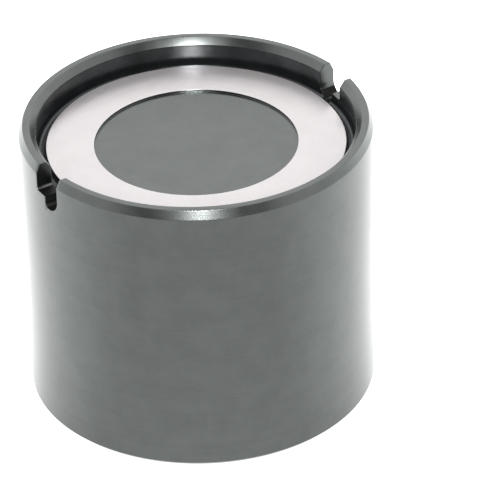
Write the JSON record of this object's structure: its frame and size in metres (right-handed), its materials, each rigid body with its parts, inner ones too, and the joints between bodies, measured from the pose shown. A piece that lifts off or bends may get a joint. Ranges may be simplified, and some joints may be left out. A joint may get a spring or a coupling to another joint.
{
  "type": "valve lifter",
  "caption": "Bucket valve lifter, an open steel cup with a shim recess inside a thin notched rim, a bright ground seat ring and a relieved centre.",
  "frame": {"origin": "centre of the skirt's open lower edge, on the lifter's axis", "axes": "+Z along the lifter's axis from the open skirt to the cam side, +X out through one rim notch, the other notch lies on -X"},
  "size_m": [0.035, 0.035, 0.0295],
  "materials": {
    "lifter_steel": "dark treated steel, fine turned and ground marks, bright ground seat ring in the recess"
  },
  "bodies": {
    "root": {"lifter_body": "lifter_steel"}
  },
  "joints": []
}
